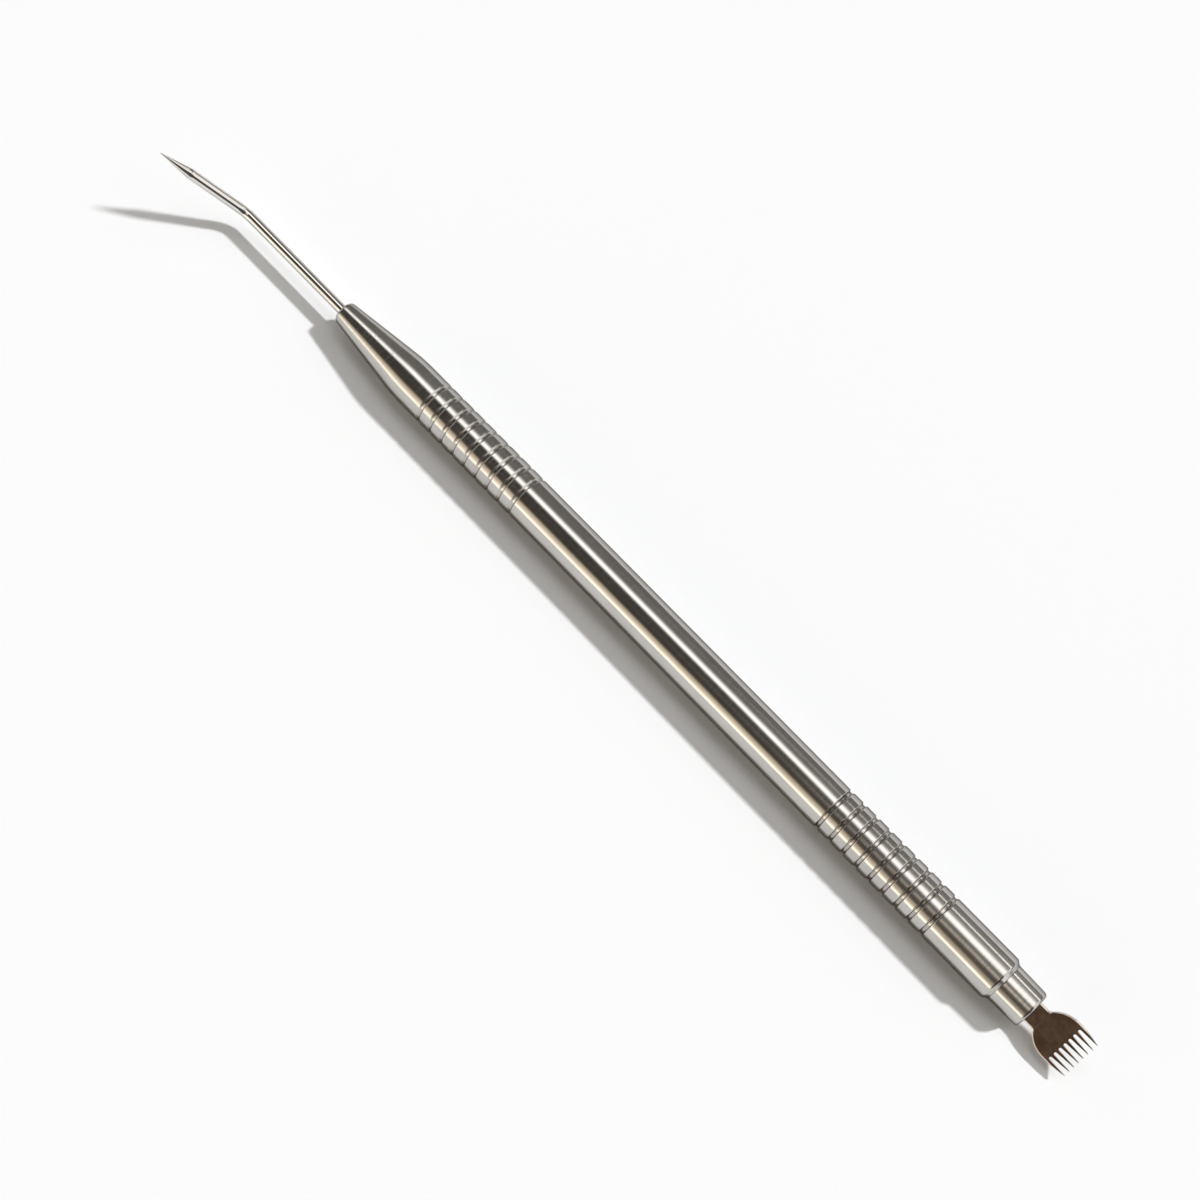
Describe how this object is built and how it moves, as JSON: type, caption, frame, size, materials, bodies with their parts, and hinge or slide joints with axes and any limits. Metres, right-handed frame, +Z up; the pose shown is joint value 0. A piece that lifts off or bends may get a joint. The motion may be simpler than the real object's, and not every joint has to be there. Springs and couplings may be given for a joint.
{
  "type": "lash lift tool",
  "caption": "Slim round steel hand tool for lash lifting: a hollow handle with turned ring grips, a bent pointed needle at one end and a small toothed comb at the other.",
  "frame": {"origin": "on the resting surface, under the handle's axis, at the middle of the tool's length", "axes": "+X along the handle towards the needle, +Y to the side that the needle leans to, +Z up"},
  "size_m": [0.1404, 0.0075, 0.0098],
  "materials": {
    "barrel_steel": "polished",
    "grip_steel": "fine turned",
    "needle_steel": "polished and ground",
    "ferrule_steel": "fine turned",
    "comb_steel": "ground"
  },
  "bodies": {
    "root": {"handle_barrel": "barrel_steel", "nose_grip": "grip_steel", "needle": "needle_steel", "rear_grip": "grip_steel", "comb_ferrule": "ferrule_steel", "comb": "comb_steel"}
  },
  "joints": []
}
